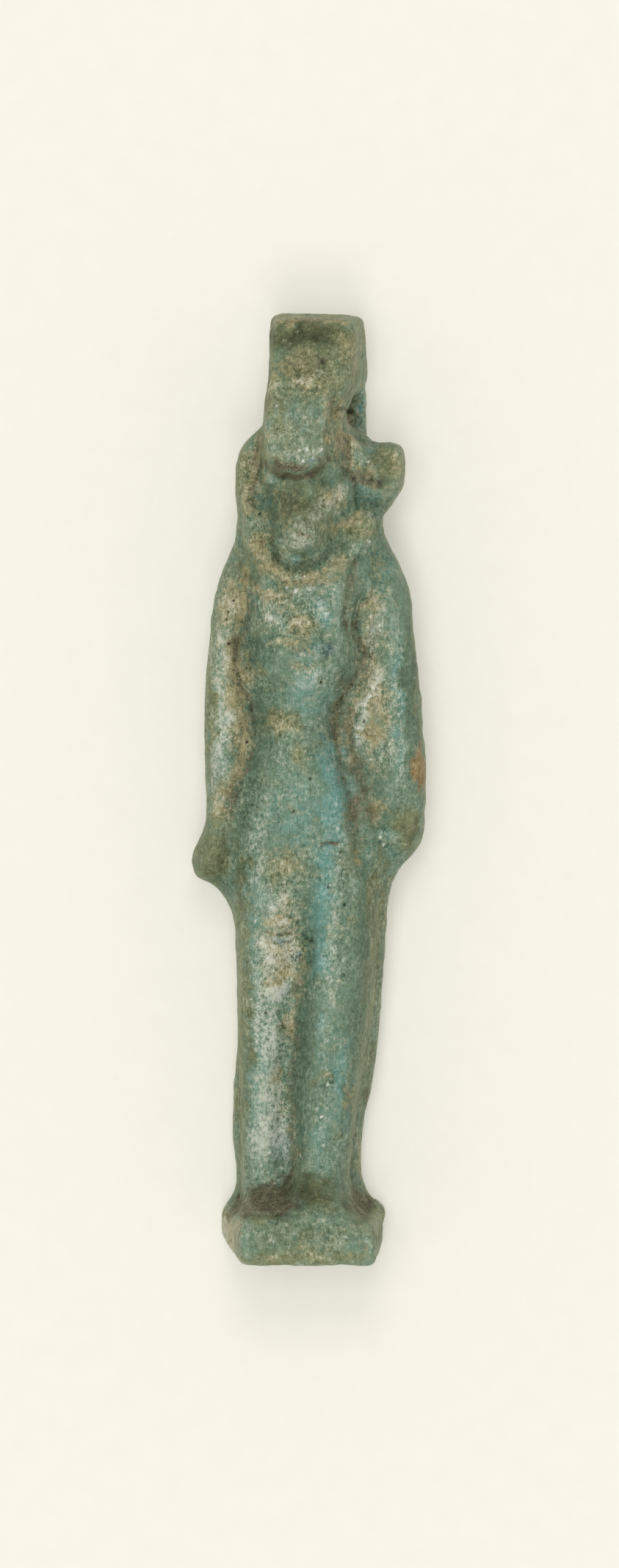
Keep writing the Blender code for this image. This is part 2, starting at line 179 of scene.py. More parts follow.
class Sculpt:
    # a mesh in mm, held as arrays while it is worked on
    def __init__(self, mesh):
        self.mesh = mesh
        self.points = np.empty(len(mesh.vertices) * 3)
        mesh.vertices.foreach_get("co", self.points)
        self.points = self.points.reshape(-1, 3)
        self.edges = np.empty(len(mesh.edges) * 2, dtype=np.int32)
        mesh.edges.foreach_get("vertices", self.edges)
        self.edges = self.edges.reshape(-1, 2)
        self.joined = np.bincount(self.edges.ravel(), minlength=len(self.points))[:, None]

    def averaged(self, values, rounds):
        # each point's values drawn halfway to the mean of those it is joined to, rounds times
        first, second = self.edges.T
        count = len(self.points)
        for turn in range(rounds):
            around = np.column_stack([
                np.bincount(first, column[second], count) + np.bincount(second, column[first], count)
                for column in values.T
            ])
            values = values * 0.5 + around / self.joined * 0.5
        return values

    def normals(self):
        self.mesh.vertices.foreach_set("co", self.points.ravel())
        self.mesh.update()
        found = np.empty(len(self.points) * 3)
        self.mesh.vertices.foreach_get("normal", found)
        return found.reshape(-1, 3)

    def keep(self, name, values):
        # one number for each point, for the finish to read
        layer = self.mesh.attributes.new(name, "FLOAT", "POINT")
        layer.data.foreach_set("value", np.ascontiguousarray(values, dtype=np.float32))


# In the tables below, places are the photograph's columns and rows, widths and half widths are
# its pixels too, and left and right are as it shows them. An oval is a column, a row, half a
# width, half a height and, where it is turned, a tilt in degrees.

# Where the pressed paste is blunter than the solid: how much is smoothed away, and an oval.
blunted = {
    "leftEarPit": (0.95, 345, 640, 16, 40, 8),
    "chinGroove": (0.5, 411, 772, 50, 14),
    "ruffGroove": (0.8, 405, 808, 60, 16),
    "leftBreast": (0.9, 350, 902, 26, 24),
    "rightBreast": (0.9, 478, 902, 26, 24),
    "legHollow": (0.9, 388, 1618, 24, 30),
    "heelHollow": (0.9, 490, 1640, 18, 30),
    "crownEdge": (0.6, 485, 480, 26, 60),
}

# Where the solid's form is drawn out wide, to be modelled afresh from the tables below: how
# much, and an oval, or how much, a width and the line it follows.
levelled = {
    "face": (0.9, 410, 724, 56, 54),
    "leftEye": (0.9, 364, 686, 27, 25),
    "rightEye": (0.95, 454, 668, 28, 32),
    "rightCheek": (0.9, 464, 694, 18, 40, -8),
    "rightEarCup": (0.95, 508, 634, 30, 30),
    "chest": (0.9, 410, 870, 66, 48),
    "besideTheCobra": (0.9, 460, 604, 16, 40, -8),
    "footLeft": (0.95, 385, 1628, 42, 24),
    "footRight": (0.95, 488, 1628, 22, 34),
    "rightShoulderLine": (0.95, 492, 830, 18, 52, 4),
    "leftRibEdge": (0.95, 342, 890, 20, 48),
    "rightRibEdge": (0.95, 480, 900, 20, 34),
}
levelledLines = {
    "leftArmGroove": (0.95, 24, [(332, 780), (344, 830), (344, 900), (347, 960), (346, 1010),
                                 (334, 1060), (325, 1120), (326, 1240)]),
    "rightArmGroove": (0.95, 26, [(488, 790), (480, 850), (482, 900), (462, 940), (452, 985),
                                  (462, 1040), (480, 1100), (502, 1180)]),
    "legGroove": (0.95, 20, [(410, 1230), (406, 1330), (400, 1450), (398, 1600)]),
    "besideTheLeg": (0.95, 18, [(508, 1200), (504, 1300), (498, 1400), (492, 1500), (486, 1620)]),
}

# Where the inner sides of the arms meet the body.
leftArmLine = [(326, 770), (340, 796), (345, 826), (336, 856), (322, 878), (320, 905), (328, 932),
               (343, 958), (348, 985), (345, 1015), (335, 1050), (322, 1085), (320, 1150), (330, 1210)]
rightArmLine = [(482, 766), (480, 800), (471, 842), (482, 864), (496, 888), (494, 908), (478, 928),
                (461, 948), (452, 978), (454, 1005), (464, 1042), (474, 1080), (486, 1130), (498, 1190)]

# What was moulded and cut into the amulet: height in mm (minus is cut in), width and line.
cutLines = {
    "leftArmGroove": (-0.08, 12, leftArmLine),
    "leftArmCut": (-0.05, 5, leftArmLine[:-2]),
    "rightArmGroove": (-0.14, 10, rightArmLine),
    "rightArmCut": (-0.06, 5, rightArmLine[:-2]),
    "underTheCobra": (-0.15, 6, [(366, 640), (384, 648), (402, 651), (425, 644), (450, 628)]),
    "cobraLip": (0.10, 9, [(372, 620), (400, 630), (430, 624), (446, 610)]),
    "cobraEdge": (0.07, 5, [(441, 560), (444, 590), (447, 618)]),
    "cordHoleNotch": (-0.20, 4, [(456, 557), (466, 559), (478, 560)]),
    "holeToEar": (0.10, 8, [(464, 575), (482, 602), (500, 606)]),
    "rightEarRim": (0.10, 6, [(481, 600), (494, 620), (505, 640), (513, 656)]),
    "leftEarFold": (-0.07, 7, [(352, 606), (343, 640), (334, 680)]),
    "leftEarRim": (0.06, 6, [(334, 612), (326, 650), (331, 690)]),
    "leftCheekLine": (0.07, 4, [(362, 640), (345, 680), (350, 706)]),
    "leftBrow": (0.05, 6, [(352, 664), (372, 657), (392, 664)]),
    "leftOfMuzzle": (-0.09, 6, [(376, 704), (371, 735), (379, 758)]),
    "underTheMuzzle": (-0.10, 7, [(379, 758), (394, 768), (412, 772), (432, 767), (446, 752)]),
    "foreheadGroove": (-0.06, 8, [(430, 650), (446, 660), (452, 672)]),
    "underTheEar": (-0.07, 10, [(458, 690), (480, 680), (505, 682), (528, 676)]),
    "mouthLeft": (-0.05, 3, [(392, 735), (398, 744), (409, 749)]),
    "mouthRight": (-0.04, 3, [(409, 749), (424, 746), (433, 736)]),
    "ruffEdge": (0.07, 9, [(343, 745), (362, 776), (400, 792), (445, 787), (470, 764)]),
    "maneLock1": (-0.05, 2.5, [(474, 692), (460, 704), (452, 720)]),
    "maneLock2": (-0.05, 2.5, [(484, 694), (470, 708), (462, 724)]),
    "maneLock3": (-0.05, 2.5, [(494, 698), (480, 712), (472, 730)]),
    "maneLock4": (-0.05, 2.5, [(502, 706), (489, 722), (484, 742)]),
    "maneLock5": (-0.04, 2.5, [(500, 728), (494, 746), (492, 762)]),
    "maneLock6": (-0.04, 2.5, [(468, 736), (466, 752), (458, 768)]),
    "shoulderRidge": (0.08, 6, [(500, 730), (500, 760), (498, 800)]),
    "chestFoldHigh": (0.06, 5, [(365, 880), (388, 870), (412, 864)]),
    "chestFoldLow": (0.05, 4, [(372, 896), (390, 885)]),
    "rightArmCrack": (-0.05, 2, [(497, 869), (512, 868), (528, 870)]),
    "rightArmRidge": (0.07, 7, [(533, 800), (534, 900), (536, 1040)]),
    "rightArmInner": (0.07, 9, [(515, 905), (497, 950), (490, 1000), (500, 1060)]),
    "wristBand1": (-0.03, 2.5, [(286, 1072), (300, 1068), (318, 1074)]),
    "wristBand2": (-0.03, 2.5, [(284, 1082), (300, 1078), (320, 1084)]),
    "wristBand3": (-0.03, 2.5, [(282, 1092), (298, 1088), (320, 1094)]),
    "wristBand4": (-0.03, 2.5, [(280, 1102), (296, 1098), (318, 1104)]),
    "hipCrack": (-0.07, 2.5, [(438, 1151), (448, 1149), (458, 1150)]),
    "thighArc1": (-0.06, 3, [(363, 1268), (380, 1274), (397, 1270)]),
    "thighArc2": (-0.05, 3, [(366, 1282), (382, 1286), (398, 1282)]),
    "shinCurve": (-0.06, 2.5, [(427, 1476), (440, 1480), (453, 1476)]),
    "legParting": (-0.05, 9, [(413, 1225), (410, 1320), (404, 1400), (400, 1500), (400, 1600)]),
    "leftFootGlazeEnd": (-0.09, 4, [(328, 1629), (352, 1620), (374, 1614), (388, 1600)]),
    "rightFootGlazeEnd": (-0.06, 4, [(408, 1604), (435, 1599), (462, 1604)]),
    "footEdge": (0.06, 5, [(330, 1650), (365, 1651), (400, 1649)]),
    "plinthTopEdge": (0.07, 5, [(326, 1664), (420, 1662), (512, 1658)]),
    "behindTheEdge": (-0.06, 3, [(326, 1657), (364, 1657), (406, 1655)]),
    "plinthSideEdge": (0.06, 6, [(324, 1664), (328, 1700)]),
}

# Small bosses and hollows: height in mm, and an oval.
dabs = {
    "crownPit": (-0.14, 440, 495, 6, 7),
    "crownBump": (0.14, 419, 520, 17, 10, -10),
    "crownHollow": (-0.06, 396, 500, 14, 15),
    "crownDent": (-0.06, 428, 462, 14, 10),
    "lipHollow": (-0.07, 420, 626, 9, 6),
    "rightEarPit": (-0.08, 489, 612, 6, 7),
    "leftEyeHollow": (-0.10, 364, 686, 20, 20),
    "rightEyeHollow": (-0.08, 438, 658, 18, 13),
    "rightBrow": (0.12, 456, 680, 9, 20, 25),
    "muzzle": (0.42, 410, 732, 42, 40),
    "noseBridge": (0.10, 408, 694, 20, 30),
    "cheekRidge": (0.08, 440, 698, 9, 26, 35),
    "leftCheek": (0.10, 352, 742, 13, 34, -8),
    "leftRib": (0.10, 342, 898, 18, 26),
    "rightRib": (0.10, 474, 888, 18, 24),
    "leftForearm": (0.12, 318, 985, 22, 70),
    "rightForearm": (0.14, 492, 990, 26, 70),
    "noseTip": (0.06, 412, 718, 13, 12),
    "nosePit": (-0.12, 414, 727, 5, 4),
    "leftMuzzle": (0.04, 392, 730, 11, 10),
    "rightMuzzle": (0.04, 432, 730, 10, 10),
    "leftChestHollow": (-0.08, 357, 896, 16, 22),
    "kneeBump": (0.07, 500, 1380, 7, 10),
    "ankleFacet": (-0.09, 489, 1495, 11, 14),
    "ankleFacetLow": (-0.07, 484, 1545, 8, 16),
    "hipPatch": (-0.04, 392, 1175, 22, 26),
    "rightFoot": (0.06, 436, 1630, 26, 24),
}

# Pinholes left by bubbles in the glaze: column and row.
pinholes = {
    "leftEar": [(350, 698)],
    "belly": [(438, 930), (423, 1061), (400, 1105)],
    "hips": [(465, 1161), (447, 1208)],
    "leftArm": [(318, 817), (310, 833), (308, 843), (330, 846), (313, 877), (344, 965), (338, 1011)],
    "rightArm": [(495, 983)],
    "leftLeg": [(403, 1306), (362, 1380)],
    "rightLeg": [(470, 1232), (424, 1280), (468, 1329)],
    "plinth": [(326, 1668)],
}

# Painted highlights, each on a small raised grain of the glaze: column, row and width.
highlightSpots = {
    "crown": [(424, 519, 2.8)],
    "cobra": [
        (377, 553, 3), (418, 612, 5), (438, 612, 3.2), (408, 614, 3.8), (427, 615, 3.8), (412, 628, 3.2),
    ],
    "rightEar": [(497, 628, 3.2)],
    "mane": [(503, 738, 3.2), (431, 783, 3), (414, 786, 3), (390, 799, 3)],
    "chest": [(421, 803, 3.2), (402, 804, 3.8), (445, 837, 3.8), (368, 842, 3.2)],
    "belly": [(385, 1084, 3), (460, 1128, 3.2)],
    "hips": [(466, 1150, 3), (463, 1172, 3), (450, 1205, 3), (370, 1211, 3.2)],
    "leftArm": [(303, 912, 3.2), (300, 990, 3.8), (306, 1004, 3.2), (298, 1018, 3)],
    "rightArm": [
        (502, 838, 3.8), (517, 852, 3.8), (519, 858, 3), (513, 925, 3.2), (508, 936, 3.8),
        (502, 948, 3.2), (497, 960, 3.8), (544, 975, 3), (489, 992, 3.2), (486, 1004, 3.8),
        (505, 1034, 3.2), (547, 1043, 3), (527, 1137, 3.2), (517, 1140, 4.2), (521, 1151, 3.8),
    ],
    "leftLeg": [
        (370, 1236, 4.2), (346, 1256, 3), (356, 1285, 3.2), (365, 1304, 3.8), (360, 1308, 3.2),
        (367, 1312, 3), (372, 1322, 3.2), (343, 1362, 3), (350, 1420, 3), (366, 1570, 3.2),
    ],
    "rightLeg": [(446, 1478, 3.2), (438, 1522, 3.8), (440, 1560, 3.2)],
    "plinth": [(352, 1684, 3), (470, 1684, 3), (372, 1690, 3)],
}

# Where the glaze has changed colour, and where shade and highlights are painted on it: strength, and
# an oval. The deep stain is darker glaze and painted shade, the frost stain whitened glaze and painted
# highlights, and the brown stain dirt in the hollows and painted shade in the grooves.
stains = {}
stains["turquoise"] = {
    "cobra": [(0.2, 418, 562, 14, 20)],
    "cobraSide": [(0.9, 490, 556, 9, 28)],
    "rightEar": [(0.4, 510, 625, 16, 20), (0.3, 502, 672, 34, 14)],
    "face": [(0.4, 366, 684, 14, 16), (0.4, 412, 757, 32, 9)],
    "mane": [(0.4, 520, 780, 22, 36), (0.3, 335, 790, 10, 20)],
    "chest": [(0.6, 447, 835, 18, 30), (0.4, 425, 890, 20, 14)],
    "belly": [
        (0.45, 425, 945, 45, 35), (0.6, 450, 1030, 18, 34), (1.2, 455, 1090, 24, 60),
        (0.5, 410, 1110, 60, 60),
    ],
    "rightArm": [(0.4, 508, 828, 9, 14), (0.6, 540, 960, 9, 120), (0.5, 520, 1165, 26, 26)],
    "leftLeg": [(0.35, 345, 1250, 14, 120), (0.4, 350, 1480, 12, 90)],
    "rightLeg": [
        (0.45, 436, 1250, 18, 85), (0.4, 440, 1400, 22, 60), (0.6, 462, 1480, 14, 90),
        (0.35, 440, 1540, 26, 60),
    ],
    "plinth": [(0.1, 400, 1690, 80, 20)],
}
# darker glaze, and painted shade under the cobra's lip, beside and under the muzzle, under the right
# ear, on the right arm's outer wall and round the feet
stains["deep"] = {
    "crown": [(1.7, 410, 458, 60, 22), (0.4, 428, 500, 60, 36)],
    "cobra": [(0.8, 394, 634, 26, 7, 4), (0.8, 440, 652, 18, 12)],
    "cobraSide": [(0.4, 474, 545, 7, 20)],
    "leftEar": [(1.1, 364, 684, 20, 22)],
    "rightEar": [(0.9, 490, 684, 42, 17, -5)],
    "face": [
        (0.6, 385, 655, 30, 10), (1.0, 402, 688, 44, 34), (0.4, 392, 700, 20, 26),
        (0.8, 376, 726, 8, 28), (0.7, 449, 728, 9, 26), (0.5, 440, 745, 8, 20),
        (0.7, 416, 768, 40, 8),
    ],
    "mane": [
        (0.55, 352, 745, 12, 26, -12), (0.5, 515, 770, 20, 50), (0.4, 348, 780, 12, 26, 20),
        (0.9, 346, 786, 10, 16),
    ],
    "chest": [
        (0.3, 360, 850, 14, 14), (0.6, 445, 888, 16, 12), (0.5, 468, 895, 22, 24),
        (1.4, 350, 896, 24, 28), (0.4, 475, 905, 14, 26),
    ],
    "belly": [
        (0.3, 400, 925, 20, 14), (0.4, 376, 940, 22, 30), (0.5, 356, 990, 9, 60),
        (0.5, 350, 1060, 12, 40),
    ],
    "leftArm": [(0.6, 288, 1168, 34, 40), (0.6, 332, 1180, 14, 60)],
    "rightArm": [
        (0.9, 562, 930, 14, 130), (0.35, 535, 960, 9, 110), (0.3, 560, 1000, 10, 120),
        (0.5, 540, 1125, 20, 26), (0.7, 560, 1140, 16, 26), (0.3, 512, 1160, 20, 20),
    ],
    "leftLeg": [(0.5, 335, 1440, 6, 120)],
    "rightLeg": [
        (0.4, 465, 1240, 9, 80), (0.8, 498, 1275, 22, 110), (0.5, 420, 1300, 10, 60),
        (0.4, 500, 1320, 14, 60), (0.3, 425, 1345, 8, 60), (0.6, 482, 1400, 20, 70),
        (0.6, 440, 1490, 12, 8), (0.35, 440, 1500, 24, 100), (0.6, 476, 1520, 9, 70),
    ],
    "feet": [(0.7, 425, 1620, 30, 20), (1.45, 430, 1630, 40, 26), (0.4, 360, 1655, 40, 8)],
    "plinth": [(0.3, 410, 1668, 90, 8), (0.3, 410, 1676, 100, 14)],
}
stains["olive"] = {
    "crown": [
        (1.0, 420, 430, 70, 6), (1.3, 425, 456, 78, 26), (1.1, 472, 488, 26, 60),
        (1.0, 428, 500, 70, 50),
    ],
    "cobra": [(0.9, 378, 560, 16, 60), (0.6, 400, 590, 44, 44), (0.5, 425, 600, 100, 60)],
    "cobraSide": [(0.9, 454, 560, 12, 50)],
    "leftEar": [(1.1, 328, 650, 22, 66)],
    "rightEar": [(1.1, 530, 632, 34, 40), (0.7, 545, 650, 12, 40)],
    "face": [(0.9, 410, 690, 60, 50), (0.5, 400, 730, 90, 70)],
    "mane": [(0.9, 488, 718, 40, 22, -20), (0.6, 340, 760, 20, 60)],
    "chest": [
        (0.3, 470, 800, 12, 30), (0.7, 382, 812, 18, 15), (1.3, 417, 852, 24, 18),
        (0.7, 352, 860, 16, 10), (0.35, 410, 862, 48, 30), (0.8, 356, 918, 12, 10),
    ],
    "belly": [
        (0.4, 360, 950, 14, 30), (1.4, 388, 988, 26, 22), (1.2, 405, 1026, 14, 18),
        (0.3, 375, 1100, 30, 24),
    ],
    "hips": [(0.5, 480, 1170, 20, 30), (0.85, 386, 1176, 34, 26)],
    "leftArm": [(1.0, 286, 960, 8, 150), (0.8, 305, 1110, 24, 40), (1.1, 288, 1165, 34, 44)],
    "rightArm": [(0.7, 570, 900, 7, 120), (0.6, 516, 1112, 9, 9), (1.3, 556, 1134, 18, 34)],
    "leftLeg": [(0.8, 330, 1240, 10, 120), (0.4, 366, 1325, 12, 16), (1.2, 326, 1420, 11, 200)],
    "rightLeg": [
        (1.0, 514, 1260, 14, 140), (0.6, 505, 1340, 16, 50), (0.7, 500, 1440, 10, 120),
        (0.8, 437, 1470, 15, 8),
    ],
    "feet": [(1.0, 430, 1630, 40, 30), (0.8, 510, 1640, 30, 60)],
    "plinth": [(0.8, 350, 1660, 40, 8), (0.6, 415, 1685, 110, 30), (1.2, 415, 1715, 120, 12)],
}
# whitened glaze, and painted highlights on the cobra's lip, the muzzle, the right cheek's ridge and
# along the ridges of the arms and legs
stains["frost"] = {
    "crown": [(0.6, 440, 505, 12, 12), (0.9, 418, 521, 15, 7, -10), (0.6, 370, 530, 14, 10)],
    "cobra": [
        (0.5, 415, 570, 16, 26), (0.4, 398, 585, 36, 34), (0.5, 380, 612, 12, 6),
        (1.0, 420, 615, 22, 6),
    ],
    "cobraSide": [(0.4, 488, 552, 8, 24), (0.3, 468, 560, 12, 20), (0.35, 466, 590, 10, 24, -10)],
    "leftEar": [(0.4, 346, 650, 8, 40, 8)],
    "rightEar": [(0.5, 497, 628, 7, 26, -32)],
    "face": [
        (0.95, 446, 688, 12, 22, 30), (0.6, 430, 690, 10, 18, 30), (0.85, 414, 716, 18, 12),
        (0.95, 410, 737, 27, 18),
    ],
    "mane": [(0.4, 480, 712, 16, 10, -20), (0.8, 506, 742, 10, 16)],
    "chest": [
        (0.8, 425, 800, 12, 6), (0.5, 430, 801, 44, 10), (0.9, 402, 804, 12, 6),
        (0.4, 405, 825, 60, 30), (0.85, 450, 835, 13, 32), (0.9, 368, 838, 13, 10),
        (0.6, 440, 838, 16, 20), (0.8, 372, 842, 16, 12), (0.9, 417, 852, 14, 8),
        (0.4, 412, 895, 26, 14),
    ],
    "belly": [(0.6, 415, 932, 40, 26), (0.3, 395, 1075, 40, 26), (0.35, 454, 1090, 14, 50)],
    "hips": [(0.5, 386, 1176, 18, 14), (0.8, 350, 1180, 12, 70)],
    "leftArm": [
        (0.75, 313, 828, 13, 28), (0.8, 300, 890, 14, 60), (0.8, 304, 900, 10, 40),
        (1.0, 300, 975, 10, 110), (1.1, 302, 1000, 12, 70), (0.9, 298, 1060, 14, 40),
        (0.5, 300, 1150, 12, 16), (0.4, 312, 1170, 12, 20),
    ],
    "rightArm": [
        (0.8, 515, 838, 12, 44), (0.6, 512, 850, 14, 24), (0.7, 508, 880, 16, 90),
        (0.7, 512, 890, 10, 30), (0.9, 510, 920, 14, 30, 20), (0.5, 532, 980, 8, 90),
        (1.0, 488, 992, 14, 40), (0.4, 520, 1010, 12, 40), (0.45, 569, 1040, 8, 20),
        (0.5, 500, 1085, 16, 16), (0.9, 525, 1143, 12, 8),
    ],
    "leftLeg": [
        (0.9, 370, 1230, 10, 14), (0.85, 380, 1230, 22, 30), (1.4, 386, 1252, 20, 12),
        (0.5, 385, 1285, 12, 14), (1.05, 368, 1300, 20, 40), (1.05, 394, 1300, 14, 40),
        (0.9, 365, 1303, 12, 12), (1.5, 386, 1350, 26, 14, -20), (0.6, 400, 1350, 14, 18),
        (0.7, 392, 1352, 18, 26), (0.9, 352, 1380, 16, 90), (0.4, 325, 1390, 6, 110),
        (0.7, 395, 1392, 10, 18), (1.1, 362, 1420, 24, 50), (1.0, 368, 1500, 24, 100),
        (1.2, 365, 1540, 26, 60), (1.2, 378, 1556, 16, 38), (0.7, 375, 1570, 20, 30),
        (0.5, 380, 1590, 24, 14, -10),
    ],
    "rightLeg": [
        (0.4, 510, 1300, 9, 140), (0.45, 517, 1300, 6, 80), (0.4, 440, 1410, 10, 50),
        (0.4, 440, 1500, 9, 80),
    ],
    "feet": [(0.8, 380, 1604, 16, 6, -20)],
    "plinth": [
        (1.0, 304, 1680, 14, 50), (0.2, 400, 1684, 70, 8), (0.4, 465, 1690, 20, 12),
        (0.35, 415, 1712, 90, 5),
    ],
}
stains["tan"] = {
    "crown": [
        (1.3, 400, 430, 90, 8), (0.85, 480, 480, 22, 60), (0.6, 408, 500, 34, 22),
        (0.6, 378, 520, 16, 20), (1.2, 420, 521, 18, 9, -10),
    ],
    "cobra": [(1.0, 444, 596, 6, 28, -6)],
    "cobraSide": [(1.2, 464, 580, 18, 66, -12), (0.6, 470, 590, 20, 60, -10)],
    "leftEar": [(0.45, 335, 650, 16, 60), (0.9, 346, 650, 12, 50, 8), (0.6, 350, 700, 10, 14)],
    "rightEar": [(0.6, 545, 640, 8, 40), (1.1, 506, 655, 22, 10)],
    "face": [
        (1.1, 452, 674, 13, 22, 35), (0.7, 385, 682, 12, 18), (0.6, 400, 712, 10, 10),
        (0.9, 462, 762, 14, 22, 30),
    ],
    "mane": [
        (0.9, 472, 712, 32, 14, -20), (0.4, 524, 718, 8, 20), (0.6, 504, 725, 10, 12, 20),
        (0.95, 354, 742, 16, 30, -12), (0.4, 519, 772, 14, 26), (1.1, 448, 782, 18, 9, -20),
        (1.0, 385, 784, 14, 7, 20), (0.8, 330, 790, 14, 20),
    ],
    "chest": [
        (0.4, 405, 805, 26, 8), (1.1, 358, 808, 24, 11), (0.4, 400, 835, 60, 40),
        (1.0, 415, 852, 18, 12), (0.6, 400, 868, 44, 10), (0.5, 424, 884, 14, 8),
        (0.4, 430, 890, 30, 12), (0.6, 416, 912, 22, 10),
    ],
    "belly": [(0.45, 384, 990, 18, 20)],
    "hips": [(0.6, 388, 1170, 24, 18)],
    "leftArm": [
        (0.9, 312, 812, 20, 30, 15), (1.0, 316, 820, 28, 50), (1.0, 318, 840, 24, 34),
        (0.6, 308, 900, 22, 130), (0.7, 330, 900, 6, 40), (0.9, 318, 960, 18, 60),
        (1.0, 328, 960, 18, 110), (0.8, 330, 1010, 12, 40), (0.6, 305, 1100, 24, 26),
    ],
    "rightArm": [
        (1.0, 503, 826, 18, 24), (0.9, 507, 850, 20, 60), (0.8, 508, 870, 20, 30),
        (0.9, 505, 940, 12, 50), (0.8, 504, 960, 28, 110), (0.5, 575, 960, 5, 60),
        (1.1, 508, 1000, 15, 22), (1.0, 515, 1105, 19, 22), (0.7, 493, 1162, 9, 18),
        (0.7, 535, 1205, 10, 16),
    ],
    "leftLeg": [
        (0.8, 388, 1220, 20, 24), (1.5, 386, 1250, 26, 16), (0.45, 380, 1280, 34, 70),
        (1.3, 372, 1292, 24, 16), (0.9, 382, 1300, 34, 60), (1.2, 380, 1335, 26, 20),
        (0.6, 404, 1345, 10, 60), (1.1, 395, 1390, 12, 26), (0.4, 385, 1440, 16, 60),
        (0.9, 378, 1460, 13, 24), (0.5, 380, 1510, 10, 30), (0.5, 395, 1520, 6, 60),
        (0.6, 395, 1575, 12, 20),
    ],
    "rightLeg": [
        (0.8, 530, 1240, 4, 50), (0.6, 470, 1250, 10, 16), (0.4, 502, 1440, 7, 70),
        (0.7, 446, 1470, 12, 6), (0.7, 480, 1490, 7, 60), (1.0, 488, 1575, 12, 36),
    ],
    "plinth": [(1.8, 306, 1685, 18, 50), (1.3, 306, 1690, 14, 50), (0.2, 415, 1713, 104, 7)],
}
stains["slate"] = {
    "cobra": [(0.9, 416, 622, 12, 6)],
    "chest": [(0.85, 444, 888, 19, 15)],
    "rightArm": [(0.8, 512, 850, 8, 6)],
    "leftLeg": [
        (0.8, 385, 1280, 8, 8), (1.0, 400, 1306, 9, 9), (1.0, 388, 1352, 22, 12, -20),
        (0.35, 370, 1400, 20, 20), (0.6, 362, 1515, 12, 14), (0.8, 380, 1560, 16, 40),
        (0.5, 356, 1570, 14, 20),
    ],
}
stains["rust"] = {
    "cobra": [(1.2, 400, 632, 14, 10)],
    "mane": [(0.5, 500, 722, 5, 10)],
    "rightArm": [(0.4, 502, 1040, 6, 14), (1.3, 569, 1045, 12, 38)],
    "plinth": [(0.8, 492, 1702, 5, 4)],
}
# dirt in the hollows, and painted shade under the cobra's lip, the right ear and the feet
stains["brown"] = {
    "crown": [(0.6, 425, 466, 16, 7), (1.2, 438, 494, 7, 6)],
    "cobra": [
        (0.3, 400, 540, 40, 5), (0.4, 380, 604, 12, 20), (0.7, 370, 630, 9, 14),
        (1.0, 440, 630, 16, 10), (2.0, 393, 632, 24, 12),
    ],
    "cobraSide": [(0.6, 466, 606, 15, 48, -14), (0.8, 470, 640, 9, 30, -20)],
    "leftEar": [(0.5, 346, 640, 9, 44, 8)],
    "rightEar": [(1.0, 488, 650, 18, 9, 20), (1.2, 500, 661, 26, 8, 10)],
    "face": [(0.25, 402, 720, 60, 60), (1.6, 415, 727, 6, 5)],
    "mane": [(0.4, 476, 700, 26, 12, -20)],
    "chest": [
        (0.8, 480, 850, 9, 26), (0.4, 425, 880, 50, 6), (0.8, 408, 884, 16, 10),
        (0.55, 470, 892, 18, 24),
    ],
    "belly": [(0.8, 474, 1000, 12, 50), (0.6, 480, 1140, 16, 30)],
    "hips": [(1.2, 446, 1151, 10, 3), (0.4, 436, 1166, 8, 10)],
    "leftArm": [(0.8, 318, 1085, 12, 30), (0.5, 300, 1140, 26, 30), (0.7, 288, 1165, 12, 20)],
    "rightArm": [(0.8, 486, 1050, 12, 34, -20), (0.9, 484, 1095, 10, 40), (0.7, 556, 1134, 14, 20)],
    "leftLeg": [
        (0.7, 398, 1270, 10, 6), (0.8, 404, 1308, 6, 7), (0.4, 392, 1400, 8, 26),
        (0.5, 372, 1480, 6, 18),
    ],
    "rightLeg": [(1.0, 495, 1500, 10, 22)],
    "feet": [
        (0.9, 396, 1612, 12, 36), (0.6, 500, 1630, 20, 12), (1.5, 362, 1636, 44, 26),
        (1.1, 492, 1636, 30, 24, 20), (1.4, 334, 1642, 22, 20),
    ],
    "plinth": [(0.6, 508, 1680, 10, 26), (0.9, 514, 1685, 8, 34)],
}

# Stains, painted shade and painted highlights that follow a line: strength, width and line.
stainLines = {}
# dirt, and painted shade along the arm grooves and the leg parting, under the cobra's lip and the right
# ear, behind the plinth's edge and round the feet
stainLines["brown"] = {
    "leftArm": (0.4, 12, leftArmLine[:-2]),
    "leftArmDeepest": (0.6, 5, leftArmLine[:-2]),
    "rightArm": (0.6, 12, rightArmLine[:-1]),
    "rightArmDeepest": (0.75, 6, rightArmLine[:-2]),
    "rightForearm": (0.7, 20, [(470, 930), (464, 975), (470, 1020), (486, 1065), (496, 1110)]),
    "leftWrist": (0.5, 14, [(300, 1100), (318, 1075), (334, 1040)]),
    "underTheCobra": (1.1, 7, [(362, 632), (385, 647), (404, 650), (426, 643), (450, 628)]),
    "legParting": (0.55, 8, [(407, 1330), (402, 1400), (398, 1500), (397, 1600)]),
    "thighArc1": (0.9, 3, [(363, 1270), (378, 1275), (397, 1268)]),
    "thighArc2": (0.8, 3, [(366, 1284), (384, 1288), (398, 1280)]),
    "hipCrack": (1.1, 2.4, [(434, 1153), (443, 1149), (451, 1153), (460, 1148)]),
    "plinthCorner": (1.2, 12, [(312, 1654), (326, 1646), (344, 1638)]),
    "leftFoot": (1.0, 10, [(328, 1650), (352, 1640), (384, 1632), (396, 1618)]),
    "behindTheEdge": (0.5, 4, [(326, 1661), (400, 1660)]),
    "crownSide": (0.9, 5, [(361, 560), (367, 500), (368, 440)]),
    "leftEarFold": (0.6, 8, [(354, 590), (348, 650), (336, 700)]),
    "cordHoleNotch": (1.3, 3, [(456, 557), (466, 559), (478, 560)]),
    "roundTheLeftFoot": (0.5, 30, [(320, 1640), (360, 1636), (396, 1620)]),
    "roundTheRightFoot": (0.5, 24, [(474, 1616), (492, 1636), (512, 1656)]),
    "underTheEar": (0.4, 9, [(520, 660), (505, 672), (480, 664), (462, 650)]),
}
